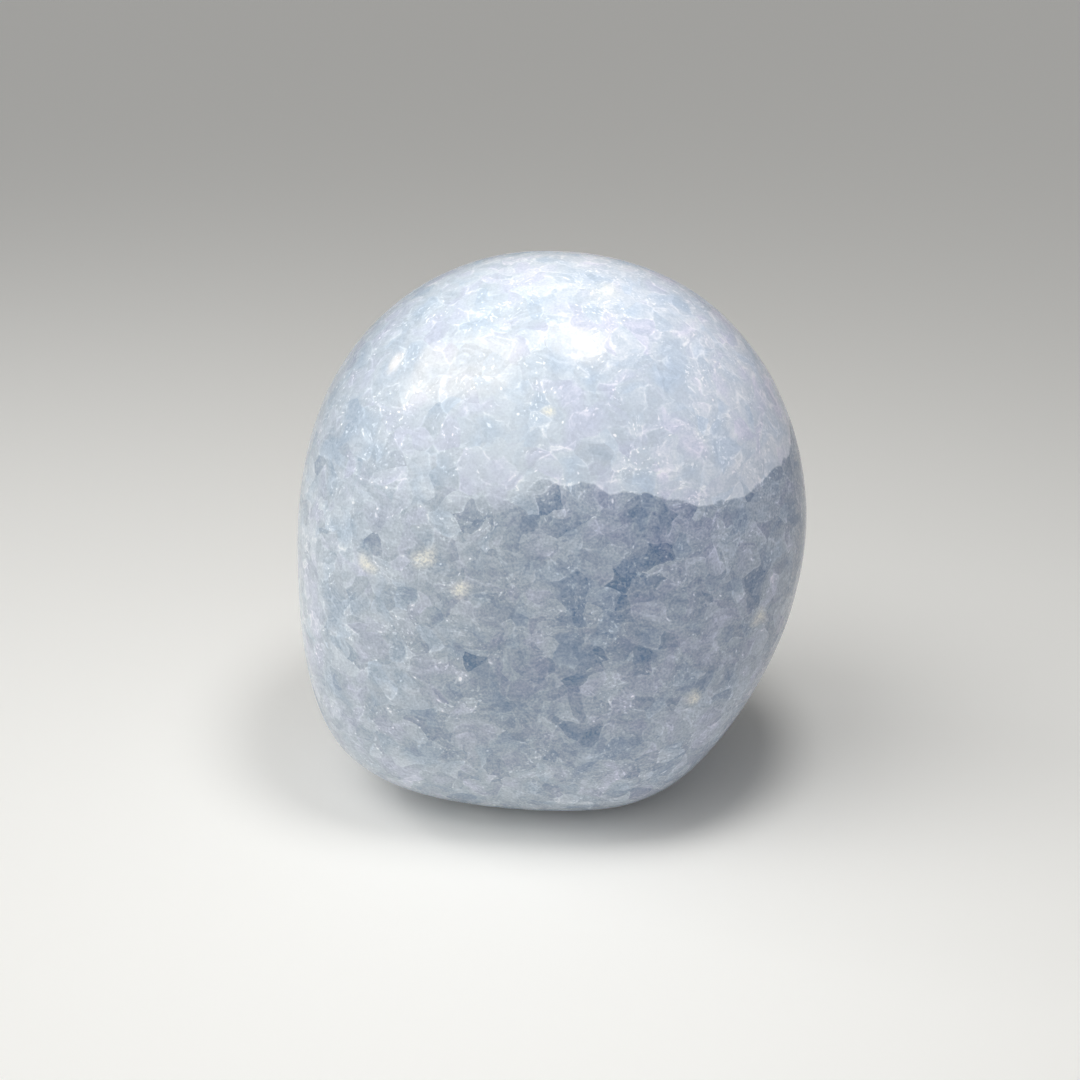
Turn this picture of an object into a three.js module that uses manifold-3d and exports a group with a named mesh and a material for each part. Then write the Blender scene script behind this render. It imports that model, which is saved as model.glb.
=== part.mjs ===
// A polished freeform of blue calcite: one solid stone, about 115 mm wide and 125 mm tall.
// Its upper half is an almost round dome. Below the waist the lapidary ground it back in broad,
// gently curved faces, steepest under the right side, down to a small flat foot that it stands on.
// Millimetres, +Z up, the stone's front towards -Y, the origin under its middle on the foot's plane.
import * as THREE from "three";
import { mergeVertices } from "three/addons/utils/BufferGeometryUtils.js";
import Module from "manifold-3d";

// All radii start at the stone's heart, a point inside it at this height above the foot.
const heartHeight = 57.5;

// The cobble before grinding: a squarish ellipsoid whose upright axis leans to the right.
const cobble = {
  halfWidth: 58.5,
  halfDepth: 48,
  rise: 68, // from the heart to its top
  drop: 86, // from the heart to where its bottom would be
  squareness: 2.14, // 2 is a true ellipsoid, and higher is boxier
  lean: 5.5, // degrees
};

// Each ground face is a flat at this distance from the heart. Azimuth 0 looks to +X and 90 to +Y,
// and elevation is above the horizontal, both in degrees along the face's outward direction.
const groundFaces = {
  rightUndercut: { azimuth: -5, elevation: -39, distance: 59 },
  leftFlank: { azimuth: 180, elevation: -1, distance: 65 },
  leftRim: { azimuth: 190, elevation: -62, distance: 71.5 },
  front: { azimuth: -98, elevation: -6, distance: 47 },
  frontRim: { azimuth: -95, elevation: -42, distance: 60 },
  back: { azimuth: 82, elevation: -8, distance: 47 },
  backRim: { azimuth: 90, elevation: -45, distance: 61 },
  underside: { azimuth: 0, elevation: -90, distance: 60.5 },
};

const edgeTightness = 9; // how tightly the faces meet: a low value rounds them far over
const surfaceDetail = 15; // how often each edge of an icosahedron is divided for the surface
const cutterSide = 200; // of the block that grinds the foot flat, wider than the stone

const calciteColour = 0xa9b5cb;
const polishRoughness = 0.25;

const radians = THREE.MathUtils.degToRad;

function outwardDirection({ azimuth, elevation }) {
  return new THREE.Vector3(
    Math.cos(radians(elevation)) * Math.cos(radians(azimuth)),
    Math.cos(radians(elevation)) * Math.sin(radians(azimuth)),
    Math.sin(radians(elevation)),
  );
}

// One over the cobble's radius in a direction, by the superellipsoid formula.
function cobbleCloseness(direction) {
  const leaned = direction.clone().applyAxisAngle(new THREE.Vector3(0, 1, 0), -radians(cobble.lean));
  const upright = leaned.z > 0 ? cobble.rise : cobble.drop;
  const n = cobble.squareness;
  const sum =
    Math.abs(leaned.x / cobble.halfWidth) ** n +
    Math.abs(leaned.y / cobble.halfDepth) ** n +
    Math.abs(leaned.z / upright) ** n;
  return sum ** (1 / n);
}

// The stone's radius in a direction: the cobble and every ground face, each as one over its
// radius, joined by a power sum, which is a smooth form of taking the nearest.
const faceNormals = Object.values(groundFaces).map((face) => ({
  normal: outwardDirection(face),
  distance: face.distance,
}));

function stoneRadius(direction) {
  let sum = cobbleCloseness(direction) ** edgeTightness;
  for (const { normal, distance } of faceNormals) {
    sum += Math.max(0, direction.dot(normal) / distance) ** edgeTightness;
  }
  return sum ** (-1 / edgeTightness);
}

// The ground and rounded body, still without its flat foot, with the foot's plane at z = 0.
function roundedBody() {
  const geometry = new THREE.IcosahedronGeometry(1, surfaceDetail);
  geometry.deleteAttribute("normal");
  geometry.deleteAttribute("uv");
  const merged = mergeVertices(geometry);
  const position = merged.getAttribute("position");
  const point = new THREE.Vector3();
  for (let i = 0; i < position.count; i++) {
    point.fromBufferAttribute(position, i).normalize();
    point.multiplyScalar(stoneRadius(point));
    position.setXYZ(i, point.x, point.y, point.z + heartHeight);
  }
  return merged;
}

function footCutter() {
  const block = new THREE.BoxGeometry(cutterSide, cutterSide, cutterSide);
  block.translate(0, 0, -cutterSide / 2);
  block.deleteAttribute("normal");
  block.deleteAttribute("uv");
  return mergeVertices(block);
}

const wasm = await Module();
wasm.setup();

function solidFrom(geometry) {
  return new wasm.Manifold(
    new wasm.Mesh({
      numProp: 3,
      vertProperties: new Float32Array(geometry.getAttribute("position").array),
      triVerts: new Uint32Array(geometry.index.array),
    }),
  );
}

function geometryFrom(solid) {
  const mesh = solid.getMesh();
  const geometry = new THREE.BufferGeometry();
  geometry.setAttribute("position", new THREE.BufferAttribute(mesh.vertProperties, 3));
  geometry.setIndex(new THREE.BufferAttribute(mesh.triVerts, 1));
  return geometry;
}

// The stone stands on z = 0 with the middle of its width and depth over the origin.
function stoneGeometry() {
  const geometry = geometryFrom(solidFrom(roundedBody()).subtract(solidFrom(footCutter())));
  geometry.computeBoundingBox();
  const centre = geometry.boundingBox.getCenter(new THREE.Vector3());
  geometry.translate(-centre.x, -centre.y, -geometry.boundingBox.min.z);
  geometry.computeVertexNormals();
  return geometry;
}

const polishedCalcite = new THREE.MeshStandardMaterial({
  color: calciteColour,
  roughness: polishRoughness,
  metalness: 0,
});

const specimen = new THREE.Group();
const stone = new THREE.Mesh(stoneGeometry(), polishedCalcite);
stone.name = "calcite_stone";
specimen.add(stone);

export default specimen;
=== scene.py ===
import math

import bpy
import numpy as np
from mathutils import Matrix, Vector


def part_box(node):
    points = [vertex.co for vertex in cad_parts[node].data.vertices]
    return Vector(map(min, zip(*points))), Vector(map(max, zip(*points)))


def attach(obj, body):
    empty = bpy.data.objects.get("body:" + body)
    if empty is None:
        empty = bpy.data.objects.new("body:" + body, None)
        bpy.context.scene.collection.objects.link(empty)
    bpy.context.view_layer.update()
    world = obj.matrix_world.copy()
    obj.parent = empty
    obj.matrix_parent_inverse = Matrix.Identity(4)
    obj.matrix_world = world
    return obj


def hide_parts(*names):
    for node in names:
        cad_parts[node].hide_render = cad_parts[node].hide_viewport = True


# A polished freeform of blue calcite on a plain pale table. Metres, +Z up, the front towards -Y.

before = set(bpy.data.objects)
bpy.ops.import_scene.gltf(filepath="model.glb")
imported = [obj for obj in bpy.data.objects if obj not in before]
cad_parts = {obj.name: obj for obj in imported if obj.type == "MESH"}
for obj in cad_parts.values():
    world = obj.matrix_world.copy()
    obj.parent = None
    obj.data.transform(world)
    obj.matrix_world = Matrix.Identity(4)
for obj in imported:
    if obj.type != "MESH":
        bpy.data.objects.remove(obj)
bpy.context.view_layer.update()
print("stage: frame loaded")


def linearColour(hexValue):
    # sRGB hex to linear: the low part is divided by 12.92, the rest follows the 2.4 power curve
    channels = [((hexValue >> shift) & 255) / 255 for shift in (16, 8, 0)]
    linear = [c / 12.92 if c <= 0.04045 else ((c + 0.055) / 1.055) ** 2.4 for c in channels]
    return (*linear, 1.0)


def addNode(tree, kind, inputs=None, **settings):
    # inputs gives each socket, by name or number, a fixed value, an output, or a node, which stands for its
    # first live output
    node = tree.nodes.new(kind)
    for name, value in settings.items():
        setattr(node, name, value)
    for key, value in (inputs or {}).items():
        live = [socket for socket in node.inputs if socket.enabled]
        socket = live[key] if isinstance(key, int) else next(s for s in live if s.name == key)
        if isinstance(value, bpy.types.Node):
            value = next(output for output in value.outputs if output.enabled)
        if isinstance(value, bpy.types.NodeSocket):
            tree.links.new(value, socket)
        else:
            socket.default_value = value
    return node


# Camera

view = {
    "aim": (-0.0024, -0.0001, 0.0600),  # the point that the lens is centred on
    "elevation": 22.0,  # degrees, looking down
    "distance": 0.344,
    "lens": 50.0,  # millimetres
    "sensor": 36.0,
    "nearest": 0.01,
}


def addCamera():
    camera = bpy.data.objects.new("camera", bpy.data.cameras.new("camera"))
    bpy.context.scene.collection.objects.link(camera)
    tilt = math.radians(view["elevation"])
    back = Vector((0, -math.cos(tilt), math.sin(tilt)))
    camera.location = Vector(view["aim"]) + back * view["distance"]
    camera.rotation_euler = (-back).to_track_quat("-Z", "Y").to_euler()
    camera.data.lens = view["lens"]
    camera.data.sensor_width = view["sensor"]
    camera.data.clip_start = view["nearest"]
    bpy.context.scene.camera = camera


# Table and light

table = {
    "reach": 8.0,  # so far that its edge lies outside the picture
    "paper": 0xF4F3EF,
    "roughness": 0.85,
    "gloss": 0.2,
}

# Each lamp is a pair in one place. The first lights the stone and the table, with the lamp's watts. The
# second is what the polish mirrors, with the watts named shine, which are fewer than a real lamp's, because
# a camera rolls bright reflections off.
lamps = {
    "overheadLamp": {
        "place": (0.040, -0.084, 0.344),
        "target": (0.005, -0.029, 0.113),
        "across": (1, 0, 0),  # the way that its first side runs
        "size": (0.077, 0.107),
        "watts": 0.39,
        "shine": 0.072,
        "shape": "ELLIPSE",
    },
    "leftSoftbox": {
        "place": (-0.310, -0.170, 0.555),
        "target": (-0.019, -0.029, 0.109),
        "across": (0.43, -0.31, 0.17),
        "size": (0.50, 0.30),
        "watts": 1.32,
        "shine": 1.15,
        "shape": "RECTANGLE",
    },
    "sideLamp": {
        "place": (-0.578, 0.166, 0.500),
        "target": (-0.032, -0.023, 0.108),
        "across": (0.06, -0.04, 0.10),
        "size": (0.070, 0.130),
        "watts": 0.25,
        "shine": 0.15,
        "shape": "ELLIPSE",
    },
}

lampPair = {
    "white": 0xFFFFFF,
    "shineWhite": 0xFFE2BC,  # warmer, as bright reflections are against the blue stone
    "gap": 0.002,  # the second stands this far behind the first, which would hide it at no gap
}

room = {
    "light": 0xFFFFFF,
    "base": 0.133,  # from everywhere
    "glow": 1.2,  # more from the bright end of the room
    "glowAzimuth": -135.0,  # front left
    "glowElevation": 20.0,
}


def addTable():
    reach = table["reach"]
    mesh = bpy.data.meshes.new("table")
    mesh.from_pydata([(-reach, -reach, 0), (reach, -reach, 0), (reach, reach, 0), (-reach, reach, 0)], [],
                     [(0, 1, 2, 3)])
    mesh.materials.append(paperMaterial())
    floor = bpy.data.objects.new("table", mesh)
    bpy.context.scene.collection.objects.link(floor)


def paperMaterial():
    # uncoated white paper, which shows the light falling off and mirrors next to nothing
    material = bpy.data.materials.new("white_paper")
    material.use_nodes = True
    shader = material.node_tree.nodes["Principled BSDF"]
    shader.inputs["Base Color"].default_value = linearColour(table["paper"])
    shader.inputs["Roughness"].default_value = table["roughness"]
    shader.inputs["Specular IOR Level"].default_value = table["gloss"]
    return material


def addLamps():
    for name, lamp in lamps.items():
        place = Vector(lamp["place"])
        back = (place - Vector(lamp["target"])).normalized()
        across = Vector(lamp["across"])
        across = (across - back * across.dot(back)).normalized()
        turn = Matrix((across, back.cross(across), back)).transposed().to_4x4()
        shinePlace = place + back * lampPair["gap"]
        addLamp(name, lamp, lamp["watts"], lampPair["white"], Matrix.Translation(place) @ turn, False)
        addLamp(name + "Shine", lamp, lamp["shine"], lampPair["shineWhite"],
                Matrix.Translation(shinePlace) @ turn, True)


def addLamp(name, lamp, watts, colour, stand, mirrored):
    data = bpy.data.lights.new(name, "AREA")
    data.shape = lamp["shape"]
    data.size, data.size_y = lamp["size"]
    data.energy = watts
    data.color = linearColour(colour)[:3]
    light = bpy.data.objects.new(name, data)
    light.matrix_world = stand
    light.visible_diffuse = not mirrored
    light.visible_glossy = mirrored
    bpy.context.scene.collection.objects.link(light)


def addRoom():
    # the light that the room gives back: base + glow * max(0, direction . bright end) squared
    world = bpy.data.worlds.new("room")
    bpy.context.scene.world = world
    world.use_nodes = True
    tree = world.node_tree
    azimuth = math.radians(room["glowAzimuth"])
    elevation = math.radians(room["glowElevation"])
    brightEnd = (math.cos(azimuth) * math.cos(elevation), math.sin(azimuth) * math.cos(elevation),
                 math.sin(elevation))
    direction = addNode(tree, "ShaderNodeTexCoord").outputs["Generated"]
    facing = addNode(tree, "ShaderNodeVectorMath", {0: direction, 1: brightEnd}, operation="DOT_PRODUCT")
    facing = addNode(tree, "ShaderNodeMath", {0: facing, 1: 0.0}, operation="MAXIMUM")
    squared = addNode(tree, "ShaderNodeMath", {0: facing, 1: 2.0}, operation="POWER")
    strength = addNode(tree, "ShaderNodeMath", {0: squared, 1: room["glow"], 2: room["base"]},
                       operation="MULTIPLY_ADD")
    background = tree.nodes["Background"]
    background.inputs["Color"].default_value = linearColour(room["light"])
    tree.links.new(strength.outputs[0], background.inputs["Strength"])


# Stone: the form

stone = {
    "heartHeight": 0.0575,  # all radii start at this point above the foot
    "halfWidth": 0.0585,
    "halfDepth": 0.048,
    "rise": 0.068,  # from the heart to the cobble's top
    "drop": 0.086,  # and to where its bottom would be
    "squareness": 2.14,  # 2 is a true ellipsoid, and higher is boxier
    "lean": 5.5,  # degrees to the right
    "edgeTightness": 9,  # how tightly the ground faces meet
    "groundFaces": [  # azimuth, elevation and distance from the heart
        (-5, -39, 0.059),  # right undercut
        (180, -1, 0.065),  # left flank
        (190, -62, 0.0715),  # left rim
        (-98, -6, 0.047),  # front
        (-95, -42, 0.060),  # front rim
        (82, -8, 0.047),  # back
        (90, -45, 0.061),  # back rim
        (0, -90, 0.0605),  # underside
    ],
    "footRounding": 0.0006,  # height over which the foot's rim is rounded
    "grid": 128,  # cells along each side of a patch
    "waveHeight": 0.00005,  # of the unevenness that hand grinding leaves
    "waveLengths": (0.012, 0.040),
    "waves": 40,
    "seed": 7,
}


def patchDirections(cells):
    # Six square patches of a cube, each with parameters u and v from -1 to 1. A point of a patch is
    # (1, tan(u * 45 degrees), tan(v * 45 degrees)) scaled to length one, which spaces the cells evenly.
    t = np.tan(np.linspace(-1, 1, cells + 1) * np.pi / 4)
    u, v = np.meshgrid(t, t, indexing="ij")
    one = np.ones_like(u)
    patches = [(one, u, v), (-one, -u, v), (-u, one, v), (u, -one, v), (u, v, one), (u, -v, -one)]
    directions = np.stack([np.stack(patch, -1) for patch in patches])
    return directions / np.linalg.norm(directions, axis=-1, keepdims=True)


def stoneRadius(directions):
    # One over the radius is a power sum, which is a smooth form of taking the largest, over the cobble's
    # superellipsoid (|x/a|^n + |y/b|^n + |z/c|^n)^(1/n) and each ground face's direction . normal / distance.
    lean = math.radians(stone["lean"])
    x = directions[..., 0] * math.cos(lean) - directions[..., 2] * math.sin(lean)
    y = directions[..., 1]
    z = directions[..., 0] * math.sin(lean) + directions[..., 2] * math.cos(lean)
    upright = np.where(z > 0, stone["rise"], stone["drop"])
    n = stone["squareness"]
    p = stone["edgeTightness"]
    cobble = abs(x / stone["halfWidth"]) ** n + abs(y / stone["halfDepth"]) ** n + abs(z / upright) ** n
    total = cobble ** (p / n)
    for azimuth, elevation, distance in stone["groundFaces"]:
        a, e = math.radians(azimuth), math.radians(elevation)
        normal = np.array([math.cos(e) * math.cos(a), math.cos(e) * math.sin(a), math.sin(e)])
        total = total + np.maximum(0, directions @ normal / distance) ** p
    return total ** (-1 / p)


def handGround(points):
    # the sum of sine waves in random directions, each sin(k . point + phase), scaled to waveHeight
    draw = np.random.default_rng(stone["seed"])
    shortest, longest = stone["waveLengths"]
    total = np.zeros(points.shape[:-1])
    for wave in range(stone["waves"]):
        direction = draw.normal(size=3)
        length = shortest * (longest / shortest) ** draw.random()
        k = direction / np.linalg.norm(direction) * 2 * np.pi / length
        total += length / longest * np.sin(points @ k + draw.random() * 2 * np.pi)
    return stone["waveHeight"] * total / total.std()


def softFoot(z):
    # z above the rounding, 0 below it, and (z + k)^2 / 4k in between, which meets both smoothly
    k = stone["footRounding"]
    return np.where(z > k, z, np.where(z < -k, 0, (z + k) ** 2 / (4 * k)))


def addStone():
    low, high = (np.array(corner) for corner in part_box("calcite_stone"))
    directions = patchDirections(stone["grid"])
    points = directions * stoneRadius(directions)[..., None]
    points += directions * handGround(points)[..., None]
    points[..., 2] = softFoot(points[..., 2] + stone["heartHeight"])
    side = stone["grid"] + 1
    points = points.reshape(-1, 3)
    # the patches' shared edges become one: points with the same rounded direction are merged
    keys = np.round(directions.reshape(-1, 3) * 1e6).astype(np.int64)
    unused, first, merged = np.unique(keys, axis=0, return_index=True, return_inverse=True)
    points = points[first]
    lowest, highest = points.min(0), points.max(0)
    points = low + (points - lowest) * (high - low) / (highest - lowest)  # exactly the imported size
    index = merged.reshape(6, side, side)
    corners = [index[:, :-1, :-1], index[:, 1:, :-1], index[:, 1:, 1:], index[:, :-1, 1:]]
    quads = np.stack(corners, -1).reshape(-1, 4)
    mesh = bpy.data.meshes.new("polished_stone")
    mesh.from_pydata(points.tolist(), [], quads.tolist())
    mesh.polygons.foreach_set("use_smooth", np.ones(len(quads), bool))
    mesh.materials.append(calciteMaterial())
    mesh.update()
    piece = bpy.data.objects.new("polished_stone", mesh)
    bpy.context.scene.collection.objects.link(piece)
    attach(piece, "root")
    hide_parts("calcite_stone")
    print("stage: stone of", len(quads) * 2, "triangles")
    return piece


# Stone: the material. Lengths in its patterns are millimetres, and a tone is a place on the scale from clear
# to milky, though part of the tone is painted light and shade: at the crack, in the pools and in the sparks.
# Spots are given as x, y, z, radius and strength, and "across" as two places along x.

calcite = {
    # tones, from the clearest grains, which light sinks into, to the milkiest
    "tones": [(0.0, 0x5E7894), (0.25, 0x8B99AB), (0.5, 0xABB5C0), (0.75, 0xCBD4DC), (1.0, 0xF4F5F6)],
    "violet": 0xFAF7FE,  # tints that some grains' tone is multiplied by
    "sky": 0xF5FAFF,
    "dusk": 0xF5F6FF,  # and one for the right side of the stone
    "duskAcross": (-10.0, 50.0),
    "cream": 0xECEADF,
    "roughness": (0.10, 0.20),
    "ior": 1.66,  # calcite's ordinary ray
    "subsurface": 0.5,
    "lightDepth": 0.005,  # metres that light travels in the stone
    "lightReach": (0.8, 0.9, 1.0),  # the part of it that red, green and blue light travel
    "ripple": 0.7,  # length of the fine unevenness that polishing leaves between grains
    "reliefHeight": 0.00001,  # metres, its height
}

# The swings say how far a pattern moves the tone either way.
grains = {
    "coarse": 4.2,
    "coarseSwing": 0.08,
    "slopeSwing": 0.04,  # across each coarse grain
    "deep": 7.0,  # out of focus below the surface
    "deepSwing": 0.04,
    "fine": 1.3,
    "fineSwing": 0.07,
    "cloud": 14.0,
    "cloudSwing": 0.05,
    "grit": 0.5,
    "gritSwing": 0.10,
    "bends": [(1.6, 8.0), (0.14, 1.4)],  # the grains' outlines are bent this far over this length
}

# The stone is milkier above the crack, and the tone above it also holds painted light, which the crack throws
# back up. The tone below it holds painted shade, which the crack casts.
crack = {
    "height": 86.9,
    "sway": (1.2, 30.0),  # it wanders this far over this length
    "scallops": 1.8,  # how far it steps round whole grains
    "swells": [(-1, -43, 0, 7, 3.0), (7, -43, 0, 6, 2.5), (33, -37, 0, 20, -3.5), (58, -4, 0, 19, 8.0)],
    "fadeAcross": (-30.0, 0.0),  # it is soft and faint left of these, and sharp right of them
    "blur": (14.0, 0.4),  # the tones meet over this length
    "edge": 0.4,  # width of its bright edge
    "edgeTone": (0.06, 0.16),
}

broadTones = {
    "over": (0.575, 0.86),  # above the crack, at the left and at the right
    "overAcross": (-50.0, 50.0),
    "crown": [(2, -4, 126, 42, 0.10), (12, -38, 100, 18, -0.07)],
    "overContrast": 0.5,  # how strongly grains show above the crack
    "under": 0.56,
    # painted shade below the crack, deepest at the front and the right and running round the back, and in the
    # last entry a pool of painted light on the left, which faces the bright end of the room
    "paintedShadeAndLight": [(20, -43, 81, 13, -0.06), (12, -42, 64, 46, -0.23), (54, -6, 66, 34, -0.20),
              (-20, 42, 60, 44, -0.18), (-10, -43, 36, 34, -0.16), (18, -40, 24, 24, -0.06),
              (-50, -10, 60, 42, 0.14)],
    "underContrast": (0.85, 1.2),
    "contrastAcross": (-45.0, 15.0),
}

clearGrains = {
    "chance": (0.64, 1.25),  # a grain's random draw and its spots make it clear from here to here
    "drop": -0.34,
    "spots": [(16, -43, 81, 8.0, 0.6), (24, -42, 80, 8.0, 0.6), (18, -44, 71, 7.0, 0.6),
              (-1, -43, 85, 3.5, 0.9), (7, -43, 88, 3.5, 0.9), (-16, -42, 49, 4.5, 0.9),
              (19, -44, 52, 4.0, 0.8), (-22, -41, 76, 5.0, 0.6), (-35, -37, 72, 4.5, 0.6),
              (-31, -39, 60, 4.0, 0.6), (4, -44, 47, 3.5, 0.7), (-24, -33, 102, 6.0, 0.8),
              (9, -45, 57, 3.5, 0.6), (-10, -44, 60, 3.0, 0.5)],
    "fade": (0.25, 1.0),  # each is clearer towards one side
}

marks = {
    "veilWidth": 0.09,  # veils lie along parts of the grains' boundaries
    "veilTone": 0.15,
    "veilBreaks": 3.5,
    "wispScale": (0.22, 0.22, 0.9),  # wisps lie level, so they change fastest upwards
    "wispTone": 0.10,
    "fleck": 0.8,  # sugary flecks, in patches
    "fleckTone": 0.32,
    "fleckPatch": 6.0,
    "sparkChance": 0.965,  # painted glints: single sparks, where a cleavage plane reflects
    "sparkTone": 0.45,
}

creamSpots = [(-38, -36, 68, 3.4, 1.0), (-26, -41, 72, 3.4, 0.9), (-18, -42, 66, 3.4, 0.9),
              (44, -32, 55, 4.0, 0.9), (30, -40, 41, 3.0, 0.9), (10, -16, 121, 5.0, 0.5),
              (-1, -37, 103, 2.0, 1.0), (36, 30, 84, 4.0, 0.9), (-12, 43, 48, 4.5, 0.9),
              (-46, 14, 92, 3.5, 0.8)]


def spotSum(tree, place, spots):
    # each spot is its strength at its centre and nothing beyond its radius
    total = None
    for x, y, z, radius, strength in spots:
        away = addNode(tree, "ShaderNodeVectorMath", {0: place, 1: (x, y, z)}, operation="DISTANCE")
        spot = addNode(tree, "ShaderNodeMapRange", {"Value": away, "From Min": radius, "From Max": 0.0,
                                                    "To Max": strength}, interpolation_type="SMOOTHSTEP")
        total = addNode(tree, "ShaderNodeMath", {0: spot, 1: total or 0.0}, operation="ADD")
    return total


def bentPlace(tree, place):
    # noise moves each place a little, so that straight-sided cells turn into grains
    for reach, length in grains["bends"]:
        noise = addNode(tree, "ShaderNodeTexNoise", {"Vector": place, "Scale": 1 / length, "Detail": 1.0})
        centred = addNode(tree, "ShaderNodeVectorMath", {0: noise.outputs["Color"], 1: (0.5, 0.5, 0.5)},
                          operation="SUBTRACT")
        place = addNode(tree, "ShaderNodeVectorMath", {0: centred, 1: (4 * reach,) * 3, 2: place},
                        operation="MULTIPLY_ADD")
    return place


def crackHeight(tree, place, grain):
    # the height above the crack: that above a level, plus its sway and scallops, less its swells
    reach, length = crack["sway"]
    sway = addNode(tree, "ShaderNodeTexNoise", {"Vector": place, "Scale": 1 / length, "Detail": 1.0})
    level = addNode(tree, "ShaderNodeMapRange", {"Value": sway, "From Min": 0.25, "From Max": 0.75,
                                                 "To Min": crack["height"] - reach,
                                                 "To Max": crack["height"] + reach})
    flat = addNode(tree, "ShaderNodeVectorMath", {0: place, 1: (1, 1, 0)}, operation="MULTIPLY")
    level = addNode(tree, "ShaderNodeMath", {0: level, 1: spotSum(tree, flat, crack["swells"])},
                    operation="ADD")
    up = addNode(tree, "ShaderNodeSeparateXYZ", {0: place}).outputs["Z"]
    height = addNode(tree, "ShaderNodeMath", {0: up, 1: level}, operation="SUBTRACT")
    scallop = addNode(tree, "ShaderNodeMath", {0: grain.outputs["Distance"], 1: 0.45}, operation="SUBTRACT")
    return addNode(tree, "ShaderNodeMath", {0: scallop, 1: crack["scallops"], 2: height},
                   operation="MULTIPLY_ADD")


def broadTone(tree, place, acrossX, height):
    # the tone at large, which steps at the crack, with painted light above it and painted shade below it, and
    # how strongly grains show in it
    left, right = crack["fadeAcross"]
    blur = addNode(tree, "ShaderNodeMapRange", {"Value": acrossX, "From Min": left, "From Max": right,
                                                "To Min": crack["blur"][0], "To Max": crack["blur"][1]})
    above = addNode(tree, "ShaderNodeMath", {0: height, 1: blur}, operation="DIVIDE")
    above = addNode(tree, "ShaderNodeMapRange", {"Value": above, "From Min": -1.0, "From Max": 1.0},
                    interpolation_type="SMOOTHSTEP")
    left, right = broadTones["overAcross"]
    over = addNode(tree, "ShaderNodeMapRange", {"Value": acrossX, "From Min": left, "From Max": right,
                                                "To Min": broadTones["over"][0],
                                                "To Max": broadTones["over"][1]})
    over = addNode(tree, "ShaderNodeMath", {0: over, 1: spotSum(tree, place, broadTones["crown"])},
                   operation="ADD")
    # below the crack: the painted shade and the one pool of painted light
    under = addNode(tree, "ShaderNodeMath", {0: spotSum(tree, place, broadTones["paintedShadeAndLight"]),
                                             1: broadTones["under"]}, operation="ADD")
    tone = addNode(tree, "ShaderNodeMix", {"Factor": above, "A": under, "B": over})
    left, right = broadTones["contrastAcross"]
    contrast = addNode(tree, "ShaderNodeMapRange", {"Value": acrossX, "From Min": left, "From Max": right,
                                                    "To Min": broadTones["underContrast"][0],
                                                    "To Max": broadTones["underContrast"][1]})
    contrast = addNode(tree, "ShaderNodeMix", {"Factor": above, "A": contrast,
                                               "B": broadTones["overContrast"]})
    return tone, contrast


def grainSlope(tree, bent, grain):
    # millimetres from a grain's centre, measured in a direction that its random colour gives
    inside = addNode(tree, "ShaderNodeVectorMath", {0: bent, 1: grain.outputs["Position"]},
                     operation="SUBTRACT")
    facing = addNode(tree, "ShaderNodeVectorMath", {0: grain.outputs["Color"], 1: (0.5, 0.5, 0.5)},
                     operation="SUBTRACT")
    facing = addNode(tree, "ShaderNodeVectorMath", {0: facing}, operation="NORMALIZE")
    return addNode(tree, "ShaderNodeVectorMath", {0: inside, 1: facing}, operation="DOT_PRODUCT")


def clearDrop(tree, grain, draw, slope):
    # clear grains: some of all, and those at the spots
    clear = addNode(tree, "ShaderNodeMath", {
        0: draw, 1: spotSum(tree, grain.outputs["Position"], clearGrains["spots"])}, operation="ADD")
    clear = addNode(tree, "ShaderNodeMapRange", {"Value": clear, "From Min": clearGrains["chance"][0],
                                                 "From Max": clearGrains["chance"][1],
                                                 "To Max": clearGrains["drop"]},
                    interpolation_type="SMOOTHSTEP")
    fade = addNode(tree, "ShaderNodeMapRange", {"Value": slope, "From Min": -2.0, "From Max": 2.0,
                                                "To Min": clearGrains["fade"][0],
                                                "To Max": clearGrains["fade"][1]})
    return addNode(tree, "ShaderNodeMath", {0: clear, 1: fade}, operation="MULTIPLY")


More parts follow.
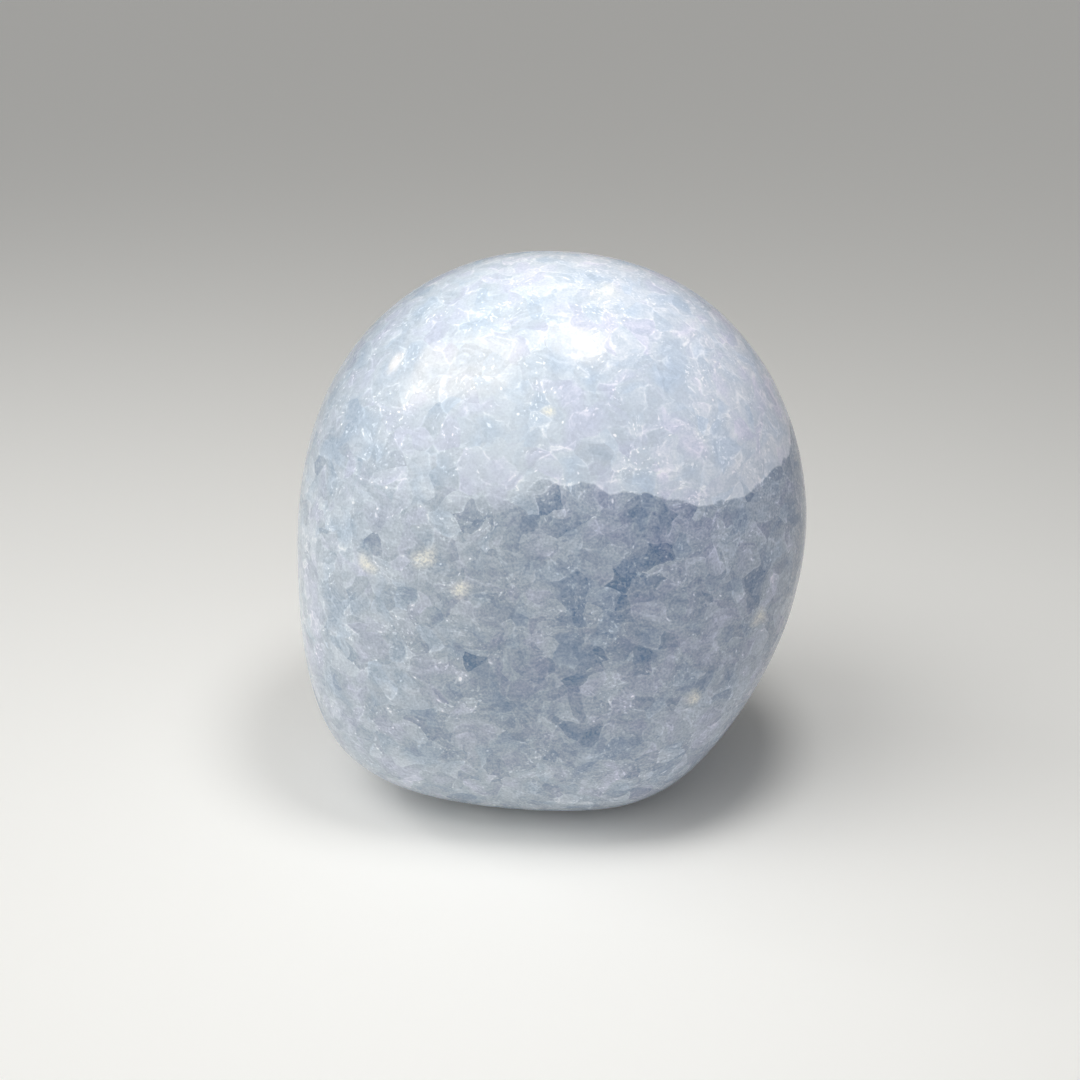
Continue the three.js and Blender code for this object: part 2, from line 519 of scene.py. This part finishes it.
def markTones(tree, place, bent, fine, fineDraw):
    # what the marks add to the tone
    edge = addNode(tree, "ShaderNodeTexVoronoi", {"Vector": bent, "Scale": 1 / grains["coarse"]},
                   feature="DISTANCE_TO_EDGE")
    veil = addNode(tree, "ShaderNodeMapRange", {"Value": edge, "From Min": 0.0,
                                                "From Max": marks["veilWidth"],
                                                "To Min": marks["veilTone"], "To Max": 0.0})
    broken = addNode(tree, "ShaderNodeTexNoise", {"Vector": place, "Scale": 1 / marks["veilBreaks"],
                                                  "Detail": 1.0})
    broken = addNode(tree, "ShaderNodeMapRange", {"Value": broken, "From Min": 0.50, "From Max": 0.62})

    level = addNode(tree, "ShaderNodeVectorMath", {0: bent, 1: marks["wispScale"]}, operation="MULTIPLY")
    wisp = addNode(tree, "ShaderNodeTexNoise", {"Vector": level, "Scale": 1.0, "Detail": 2.0})
    wisp = addNode(tree, "ShaderNodeMapRange", {"Value": wisp, "From Min": 0.56, "From Max": 0.72,
                                                "To Max": marks["wispTone"]})

    fleck = addNode(tree, "ShaderNodeTexNoise", {"Vector": bent, "Scale": 1 / marks["fleck"],
                                                 "Detail": 1.0})
    fleck = addNode(tree, "ShaderNodeMapRange", {"Value": fleck, "From Min": 0.60, "From Max": 0.72,
                                                 "To Max": marks["fleckTone"]})
    patch = addNode(tree, "ShaderNodeTexNoise", {"Vector": place, "Scale": 1 / marks["fleckPatch"],
                                                 "Detail": 1.0})
    patch = addNode(tree, "ShaderNodeMapRange", {"Value": patch, "From Min": 0.46, "From Max": 0.62})

    # painted glints: a few fine grains are made lighter, as a cleavage plane in them would mirror a lamp
    lit = addNode(tree, "ShaderNodeMath", {0: fineDraw, 1: marks["sparkChance"]}, operation="GREATER_THAN")
    spark = addNode(tree, "ShaderNodeMapRange", {"Value": fine, "From Min": 0.28, "From Max": 0.12,
                                                 "To Max": marks["sparkTone"]})
    total = wisp
    for strength, share in ((veil, broken), (fleck, patch), (spark, lit)):
        total = addNode(tree, "ShaderNodeMath", {0: strength, 1: share, 2: total}, operation="MULTIPLY_ADD")
    return total


def crackLine(tree, acrossX, height):
    # the crack's bright edge
    apart = addNode(tree, "ShaderNodeMath", {0: height}, operation="ABSOLUTE")
    left, right = crack["fadeAcross"]
    bright = addNode(tree, "ShaderNodeMapRange", {"Value": acrossX, "From Min": left, "From Max": right,
                                                  "To Min": crack["edgeTone"][0],
                                                  "To Max": crack["edgeTone"][1]})
    return addNode(tree, "ShaderNodeMapRange", {"Value": apart, "From Min": 0.0, "From Max": crack["edge"],
                                                "To Min": bright, "To Max": 0.0})


def toneColour(tree, tone, lean, acrossX):
    # the tone's colour, with violet and sky blue grains and a tint at the right
    colour = addNode(tree, "ShaderNodeValToRGB", {0: tone})
    for index, (position, value) in enumerate(calcite["tones"]):
        element = colour.color_ramp.elements[index] if index < 2 else colour.color_ramp.elements.new(position)
        element.position = position
        element.color = linearColour(value)
    for tint, source, (start, end) in (("violet", lean, (0.64, 0.85)), ("sky", lean, (0.61, 0.40)),
                                       ("dusk", acrossX, calcite["duskAcross"])):
        amount = addNode(tree, "ShaderNodeMapRange", {"Value": source, "From Min": start, "From Max": end})
        colour = addNode(tree, "ShaderNodeMix", {"Factor": amount, "A": colour,
                                                 "B": linearColour(calcite[tint])},
                         data_type="RGBA", blend_type="MULTIPLY")
    return colour


def calciteMaterial():
    # polished coarse calcite: a mass of clear and milky grains that light sinks into, under a lapidary's
    # polish, which gives soft-edged highlights
    material = bpy.data.materials.new("polished_blue_calcite")
    material.use_nodes = True
    tree = material.node_tree
    shader = tree.nodes["Principled BSDF"]
    objectPlace = addNode(tree, "ShaderNodeTexCoord").outputs["Object"]
    place = addNode(tree, "ShaderNodeVectorMath", {0: objectPlace, "Scale": 1000.0}, operation="SCALE")
    acrossX = addNode(tree, "ShaderNodeSeparateXYZ", {0: place}).outputs["X"]
    bent = bentPlace(tree, place)

    # the patterns, where a cell's colour is its three random draws
    grain = addNode(tree, "ShaderNodeTexVoronoi", {"Vector": bent, "Scale": 1 / grains["coarse"]})
    draws = addNode(tree, "ShaderNodeSeparateColor", {0: grain.outputs["Color"]})
    slope = grainSlope(tree, bent, grain)
    fine = addNode(tree, "ShaderNodeTexVoronoi", {"Vector": bent, "Scale": 1 / grains["fine"]})
    fineDraws = addNode(tree, "ShaderNodeSeparateColor", {0: fine.outputs["Color"]})
    deep = addNode(tree, "ShaderNodeTexNoise", {"Vector": bent, "Scale": 1 / grains["deep"], "Detail": 1.0})
    cloud = addNode(tree, "ShaderNodeTexNoise", {"Vector": place, "Scale": 1 / grains["cloud"],
                                                 "Detail": 2.0})
    grit = addNode(tree, "ShaderNodeTexNoise", {"Vector": place, "Scale": 1 / grains["grit"], "Detail": 2.0})
    height = crackHeight(tree, place, grain)

    # the tone
    pattern = clearDrop(tree, grain, draws.outputs[1], slope)
    for source, low, high, swing in ((draws.outputs[0], 0.0, 1.0, "coarseSwing"),
                                     (slope, -2.0, 2.0, "slopeSwing"), (deep, 0.3, 0.7, "deepSwing"),
                                     (fineDraws.outputs[0], 0.0, 1.0, "fineSwing"),
                                     (cloud, 0.3, 0.7, "cloudSwing"), (grit, 0.3, 0.7, "gritSwing")):
        share = addNode(tree, "ShaderNodeMapRange", {"Value": source, "From Min": low, "From Max": high,
                                                     "To Min": -grains[swing], "To Max": grains[swing]},
                        clamp=False)
        pattern = addNode(tree, "ShaderNodeMath", {0: share, 1: pattern}, operation="ADD")
    tone, contrast = broadTone(tree, place, acrossX, height)
    tone = addNode(tree, "ShaderNodeMath", {0: pattern, 1: contrast, 2: tone}, operation="MULTIPLY_ADD")
    for extra in (markTones(tree, place, bent, fine, fineDraws.outputs[1]), crackLine(tree, acrossX, height)):
        tone = addNode(tree, "ShaderNodeMath", {0: extra, 1: tone}, operation="ADD")

    # the colour
    lean = addNode(tree, "ShaderNodeMath", {0: draws.outputs[2], 1: 0.25, 2: deep}, operation="MULTIPLY_ADD")
    colour = toneColour(tree, tone, lean, acrossX)
    ragged = addNode(tree, "ShaderNodeMapRange", {"Value": grit, "From Min": 0.35, "From Max": 0.65,
                                                  "To Min": 0.4, "To Max": 1.2})
    creamy = addNode(tree, "ShaderNodeMath", {0: spotSum(tree, bent, creamSpots), 1: ragged},
                     operation="MULTIPLY", use_clamp=True)
    colour = addNode(tree, "ShaderNodeMix", {"Factor": creamy, "A": colour,
                                             "B": linearColour(calcite["cream"])}, data_type="RGBA")
    tree.links.new(colour.outputs[2], shader.inputs["Base Color"])

    # the polish
    rough = addNode(tree, "ShaderNodeMapRange", {"Value": grit, "From Min": 0.3, "From Max": 0.7,
                                                 "To Min": calcite["roughness"][0],
                                                 "To Max": calcite["roughness"][1]})
    tree.links.new(rough.outputs[0], shader.inputs["Roughness"])
    ripple = addNode(tree, "ShaderNodeTexNoise", {"Vector": place, "Scale": 1 / calcite["ripple"],
                                                  "Detail": 1.0})
    relief = addNode(tree, "ShaderNodeBump", {"Height": ripple, "Distance": calcite["reliefHeight"],
                                              "Strength": 1.0})
    tree.links.new(relief.outputs[0], shader.inputs["Normal"])
    shader.inputs["IOR"].default_value = calcite["ior"]

    # light in the stone
    shader.inputs["Subsurface Weight"].default_value = calcite["subsurface"]
    shader.inputs["Subsurface Radius"].default_value = calcite["lightReach"]
    shader.inputs["Subsurface Scale"].default_value = calcite["lightDepth"]
    return material


bpy.context.scene.view_settings.view_transform = "Standard"
addCamera()
addTable()
addLamps()
addRoom()
print("stage: camera, table and light")
addStone()

print("stage: finished")
